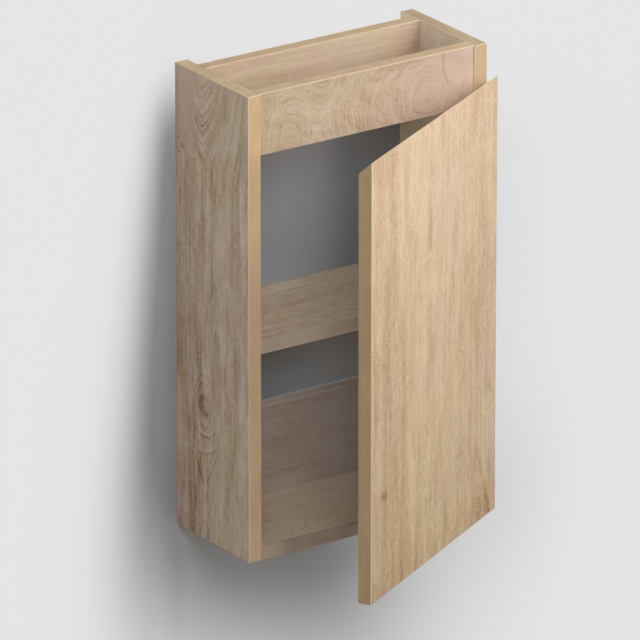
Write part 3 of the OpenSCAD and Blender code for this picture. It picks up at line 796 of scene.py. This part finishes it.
def edging_material(name, low, high, on_door=False, added=None, mottle=1.0):
    """Plain oak-tone edging: faint blotches and hair-thin lengthwise streaks, which mottle weakens.
    added gives a tone to add from the place in millimetres."""
    material, tree, shader, x, y, z = new_material(name, on_door)
    tone = noise(x / 30, y / 30, z / 70, 3) * 0.9 + noise(x / 1.2, y / 1.2, z / 45, 2) * 0.35
    tone = 0.5 + tone * mottle
    if added:
        tone = tone + added(x, y, z)
    colour = colour_ramp(tree, tone, (0.2, low), (0.8, high))
    surface(tree, shader, colour, 0.5 - tone * 0.1, tone, 0.15, 0.1 * MM)
    shader.inputs["Specular IOR Level"].default_value = 0.4
    return material


def painted_light_below(x, y, z):
    """Painted light on the left front strip, where the open door shades it: the tone is higher below
    z = -30, less so near the lower end.
    """
    return (z.smooth(-30, -110) - z.smooth(-320, -450) * 0.85) * 0.5


def darker_right(x, y, z):
    """Tone of the bottom's strip: high at its left end, low from there on."""
    return 0.2 - x.smooth(-144, -110) * 0.42


def metal_material(name, low, high, roughness, brushed=1.0, blotch=0.0):
    """Plated metal: fine brushing or casting mottle in its colour, roughness and bump. brushed
    lengthens the fine grain along y, and blotch strengthens the broad mottle."""
    material, tree, shader, x, y, z = new_material(name)
    grain = 0.25
    fine = noise(x / grain, y / (grain * brushed), z / grain, 3)
    broad = noise(x / 9, y / 9, z / 9, 2)
    tone = 0.5 + fine * 0.5 + broad * (0.7 + blotch)
    colour = colour_ramp(tree, tone, (0.0, low), (1.0, high))
    surface(tree, shader, colour, fine * 0.12 + broad * 0.1 + roughness, fine, 0.12, 0.05 * MM)
    shader.inputs["Metallic"].default_value = 1.0
    return material


def plain_material(name, low, high, roughness, subsurface=0.0):
    """Turned wood or soft plastic: a faint mottle in colour, roughness and bump."""
    material, tree, shader, x, y, z = new_material(name)
    tone = 0.5 + noise(x / 6, y / 0.8, z / 0.8, 3)
    colour = colour_ramp(tree, tone, (0.0, low), (1.0, high))
    surface(tree, shader, colour, tone * 0.1 + roughness, tone, 0.1, 0.1 * MM)
    shader.inputs["Subsurface Weight"].default_value = subsurface
    shader.inputs["Subsurface Scale"].default_value = 2 * MM
    return material


def dress(piece, *materials):
    """Gives a piece its materials. Clearing the slots would also clear the faces' choice of slot, so
    only a piece that has some is cleared."""
    if piece.data.materials:
        piece.data.materials.clear()
    for material in materials:
        piece.data.materials.append(material)


# Each board's figure, the axis and the middle of its thickness, the strength of lines, bands and
# flecks, its contrast and tint, and the side that is seen in front. The tints of the two sides, the
# shelf, the low rail and the bottom are partly painted light: a cooler colour for faces in shade,
# and inside the cabinet a paler one.
nodes = frame["nodes"]
front, top = -1, 1
boards = {
    "side_left": (side_left_figure, 0, -166, 0.28, 0.28, 1.0, side_left_contrast,
                  (0.98, 1.04, 1.13), front),
    "side_right": (side_right_figure, 0, 166, 0.30, 0.24, 1.0, 0.6, (0.97, 1.08, 1.15), front),
    "front_rail": (fascia_figure, 1, -145.5, 0.50, 0.16, 1.0, fascia_contrast,
                   (0.905, 0.94, 0.995), front),
    "rear_top_rail": (rear_rail_figure, 1, -31, 0.42, 0.50, 1.6, 0.55, (0.93, 0.98, 1.03), front),
    "low_rear_rail": (low_rail_figure, 1, -9, 0.26, 0.40, 1.2, 0.75, (0.87, 1.07, 1.38), front),
    "shelf": (shelf_figure, 2, -217, 0.30, 0.30, 2.2, 0.95, (1.06, 1.24, 1.38), top),
    "bottom_panel": (bottom_figure, 2, -483, 0.40, 0.22, 1.0, 0.55, (1.20, 1.42, 1.62), top),
}
for node, values in boards.items():
    dress(nodes[node], oak_material("oak " + node.replace("_", " "), *values))
door_middle = (door_lo[1] + door_hi[1]) / 2 / MM
oak_door = oak_material("oak door", door_figure, 1, door_middle, 0.08, 0.34, 1.9, 1.12,
                        (1.125, 1.10, 1.03), front, on_door=True)
dress(nodes["door_panel"], oak_door)

# Each edging's darkest and palest colour, and what else sets it apart. Some copies carry painted
# light and shade: the right top's strip and the door's free edge are darker as painted shade, the
# shelf's strip is a cooler grey for its shade, the low rail's strip is paler as painted light for a
# strip in shade, and the left front's added tone is painted light.
edgings = {
    "left front": ((194, 159, 116), (232, 203, 162), {"added": painted_light_below}),
    "right front": ((195, 165, 128), (215, 189, 153), {}),
    "left top": ((193, 161, 121), (213, 185, 145), {}),
    "darker": ((175, 147, 110), (197, 171, 134), {}),
    "top rails": ((186, 155, 118), (208, 179, 141), {}),
    "grey": ((196, 182, 162), (214, 200, 180), {}),
    "dull": ((145, 129, 113), (203, 180, 153), {"added": darker_right, "mottle": 0.35}),
    "pale grey": ((226, 217, 206), (240, 232, 222), {}),
    "door": ((202, 168, 126), (222, 192, 151), {"on_door": True}),
    "door free edge": ((180, 150, 112), (202, 174, 136), {"on_door": True}),
}
edgings = {name: edging_material("edging oak " + name, low, high, **more)
           for name, (low, high, more) in edgings.items()}
edging_of = {
    "side_left_front": "left front", "side_left_top": "left top", "side_right_front": "right front",
    "side_right_top": "darker", "front_rail": "top rails", "rear_top_rail": "top rails",
    "shelf": "grey", "bottom": "dull", "low_rear_rail": "pale grey", "door_top": "door",
    "door_bottom": "door", "door_hinge": "door", "door_free": "door free edge",
}
# The pale rims along the rounded edges are painted highlights, where the rounds would catch the
# light; the top rails' rim is a dimmer one.
rim = edging_material("edging light rim", (236, 213, 178), (246, 226, 197))
top_rails_painted_highlight = edging_material("edging light rim of top rails", (217, 190, 151), (227, 204, 169))
for strip in strips:
    place = strip.name.removesuffix("_edging_strip")
    level = "top" in place or place == "front_rail"
    dress(strip, edgings[edging_of[place]], top_rails_painted_highlight if level else rim)

zinc = metal_material("cast zinc", (120, 122, 126), (176, 178, 182), 0.42, blotch=0.3)
nickel = metal_material("nickel-plated steel", (168, 166, 160), (212, 210, 204), 0.24, brushed=14)
galvanised = metal_material("zinc-plated steel", (150, 153, 158), (200, 203, 208), 0.34, blotch=0.5)
beech = plain_material("dowel beech", (196, 160, 112), (226, 196, 150), 0.6)
soft = plain_material("soft buffer", (226, 228, 226), (242, 243, 240), 0.35, subsurface=0.5)

for material, pieces in (
        (nickel, [*nickel_pieces, nodes["hinge_pins"]]), (soft, [buffers]), (zinc, [nodes["cams"]]),
        (galvanised, [*bracket_pieces, nodes["cam_bolts"]]), (beech, [nodes["dowels"]])):
    for piece in pieces:
        dress(piece, material)

backdrop = srgb(229, 229, 229)
paint = 0.783  # linear value of the pale floor, and of the wall before it is shaded


def rise(distance, wide):
    """Logistic step: 1 / (1 + exp(-distance / wide))."""
    return ((distance * -1.0 / wide).put("EXPONENT") + 1.0).put("POWER", -1.0)


def wall_shade(x, y, z):
    """Share of lamp-lit paint on the wall, and its colour. Both add painted shade to the lamps' own
    shadow of the cabinet. The lit part is the soft region round the cabinet, wider towards the lower
    left: a product of four logistic steps, and all of the wall behind the cabinet. The paint there is
    dimmed as painted shade, and behind the cabinet it is a little cooler and changes in brightness as
    painted light and shade. Right beside the left side it is darker, as painted shade, and right
    under the cabinet paler, as painted light."""
    # The region is the painted shadow's shape: there the dimmed lamp-lit paint shows instead of the
    # even backdrop.
    region = rise(x + 206 - z * 0.093, (12.0 - z * 0.024).put("MAXIMUM", 6.0))
    region = region * rise(z + 685 + x * 0.436, 77)
    region = region * rise(182 - x + z * 0.038, 63) * rise(18 - z - x * 0.227, 22)
    behind = root(x).smooth(160, 154) * root(z + 222).smooth(256, 250)
    share = (region * 1.3 + spot(x, z, 310, -560, 90, 120) * 0.14 + behind).put("MINIMUM", 1.0)
    # Painted light and shade behind the cabinet: paler in the lower opening towards the right and in
    # a soft spot in the upper one, darker at the right of the upper one.
    behind_painted_light_and_shade = z.smooth(-222, -240) * x.smooth(-60, 60) * 0.55 + spot(x, z, 10, -70, 45, 80) * 0.14
    behind_painted_light_and_shade = behind_painted_light_and_shade - x.smooth(30, 90) * z.smooth(-226, -220) * 0.24
    # Painted shade in a thin band right beside the left side, and painted light in a band a little
    # farther out.
    beside = stroke(x + 205, 11) * z.smooth(60, 0) * 0.10
    beside = beside - stroke(x + 176, 10) * z.smooth(20, -40) * 0.14
    # Painted light in a band right under the cabinet, and a little painted shade farther down.
    below = (x * -1.0 - 67).put("MAXIMUM", 0.0) * 0.667 - 572 - z
    under = stroke(below, 22) * x.smooth(-200, -165) * 0.24
    under = (under - below.smooth(25, 60) * x.smooth(-240, -165) * 0.06) * x.smooth(150, 60)
    # The paint's level, dimmed to about two thirds and darker downwards, is painted shade; behind the
    # cabinet its colour is cooler.
    level = (z * 0.00025 + 0.669) * paint * (behind * behind_painted_light_and_shade + 1.0) * (beside + under + 1.0)
    return share, level * (0.975 - behind * 0.09), level, level * (behind * 0.11 + 1.025)


def floor_shade(x, y, z):
    """Share of lamp-lit paint on the floor, and its colour: a soft round region under the cabinet."""
    return spot(x, y, -60, -100, 420, 380) * 0.5, paint, paint, paint


def seen_directly(tree):
    """1 for what the camera sees, also in gloss and through glass, and 0 for the light itself."""
    path = add(tree, "LightPath").outputs
    seen = Field(tree, path["Is Camera Ray"]).put("MAXIMUM", path["Is Glossy Ray"])
    return seen.put("MAXIMUM", path["Is Transmission Ray"])


def shader_mix(tree, share, first, second):
    """A shader mixed from two, from the first at a share of 0 to the second at 1."""
    return add(tree, "MixShader", share, first.outputs[0], second.outputs[0])


def stage_plane(name, corners, shade):
    """A large flat stage piece that is seen and casts light from its front only, and that isn't there
    for what nearly touches it. To the eye it is partly lamp-lit paint and partly an even backdrop,
    as shade says from the place in millimetres."""
    mesh = bpy.data.meshes.new(name)
    mesh.from_pydata(corners, [], [[0, 1, 2, 3]])
    plane = placed(name, mesh)
    material = bpy.data.materials.new(name)
    material.use_nodes = True
    mesh.materials.append(material)
    tree = material.node_tree
    tree.nodes.clear()
    share, *channels = shade(*place_mm(tree))
    eye = seen_directly(tree)
    colour = mixed(tree, eye, backdrop, add(tree, "CombineColor", *channels).outputs[0])
    lit, even = add(tree, "BsdfDiffuse", Color=colour), add(tree, "Emission", Color=backdrop)
    seen_front = shader_mix(tree, eye * (1.0 - share), lit, even)
    started_close = Field(tree, add(tree, "LightPath").outputs["Ray Length"]).put("LESS_THAN", 4 * MM)
    absent = started_close.put("MAXIMUM", add(tree, "NewGeometry").outputs["Backfacing"])
    whole = shader_mix(tree, absent, seen_front, add(tree, "BsdfTransparent"))
    add(tree, "OutputMaterial", Surface=whole.outputs[0])
    return plane


wall_y, floor_z, reach, wall_top = 0.6 * MM, cad_box[0][2] - 0.42, 4.0, 3.0
wall = stage_plane("wall", [(-reach, wall_y, floor_z), (reach, wall_y, floor_z),
                            (reach, wall_y, wall_top), (-reach, wall_y, wall_top)], wall_shade)
stage_plane("floor", [(-reach, -reach, floor_z), (reach, -reach, floor_z),
                      (reach, wall_y, floor_z), (-reach, wall_y, floor_z)], floor_shade)

# The world gives a faint light, stronger from above, and looks like the backdrop
world = bpy.data.worlds.new("studio")
bpy.context.scene.world = world
world.use_nodes = True
tree = world.node_tree
tree.nodes.clear()
sky = add(tree, "SeparateXYZ", add(tree, "TexCoord").outputs["Generated"])
upward = Field(tree, sky.outputs["Z"]).put("MAXIMUM", 0.0)
light_in = add(tree, "Background", (1.0, 1.0, 1.0, 1.0), upward * 0.03 + 0.03)
studio = shader_mix(tree, seen_directly(tree), light_in, add(tree, "Background", backdrop))
add(tree, "OutputWorld", Surface=studio.outputs[0])


def aimed(name, data, place, direction):
    """A lamp or camera at a place, looking in a direction, with its upper side up."""
    holder = placed(name, data)
    holder.location = place
    holder.rotation_mode = "QUATERNION"
    holder.rotation_quaternion = direction.to_track_quat("-Z", "Y")
    return holder


def soft_lamp(name, place, aim, radius, power):
    """A round soft lamp that the camera doesn't see."""
    lamp = bpy.data.lights.new(name, "AREA")
    lamp.shape, lamp.size, lamp.energy = "DISK", 2 * radius, power
    holder = aimed(name, lamp, place, Vector(aim) - Vector(place))
    holder.visible_camera = False
    return holder


middle = (0, -0.08, -0.15)
soft_lamp("key right", (0.6, -0.95, 0.4), middle, 0.35, 4.2)
soft_lamp("key upper right", (0.5, -1.0, 0.9), middle, 0.4, 7.3)
soft_lamp("fill upper left", (-0.9, -1.6, 0.9), middle, 0.5, 14.6)

# The wall casts no shadow, so that a lamp behind it lights the cabinet's back for the views from
# behind. A card close behind the wall, which nothing sees and only shadows know, keeps that light
# out of the inside. It leaves the boards' rear edges and the rear rail's upper part free.
wall.visible_shadow = False
soft_lamp("back", (0, 1.6, -0.2), (0, 0, -0.2), 0.13, 13).visible_glossy = False
low_z, shelf_low, shelf_top, bracket_z, high_z = -0.357, -0.226, -0.208, -0.024, 0.0246
side_x, bracket_x, card_y = 0.157, 0.122, 2 * MM
lower_part = [(-side_x, low_z), (side_x, low_z), (side_x, shelf_low), (-side_x, shelf_low)]
upper_part = [(-side_x, shelf_top), (side_x, shelf_top), (side_x, bracket_z),
              (bracket_x, bracket_z), (bracket_x, high_z), (-bracket_x, high_z),
              (-bracket_x, bracket_z), (-side_x, bracket_z)]
outline = bpy.data.meshes.new("back card")
outline.from_pydata([(x, card_y, z) for x, z in lower_part + upper_part], [],
                    [list(range(4)), list(range(4, 12))])
card = placed("back card", outline)
for kind in ("camera", "diffuse", "glossy", "transmission", "volume_scatter"):
    setattr(card, "visible_" + kind, False)

azimuth, elevation, distance = math.radians(34.584), math.radians(20.782), 11.4203
aim = Vector((-0.0711, -0.157, -0.1980))
forward = Vector((math.sin(azimuth) * math.cos(elevation), math.cos(azimuth) * math.cos(elevation),
                  -math.sin(elevation)))
lens = bpy.data.cameras.new("camera")
lens.lens, lens.sensor_width = 530.97, 36.0
lens.clip_start, lens.clip_end = 0.5, 100.0
bpy.context.scene.camera = aimed("camera", lens, aim - forward * distance, forward)
bpy.context.scene.view_settings.view_transform = "Standard"
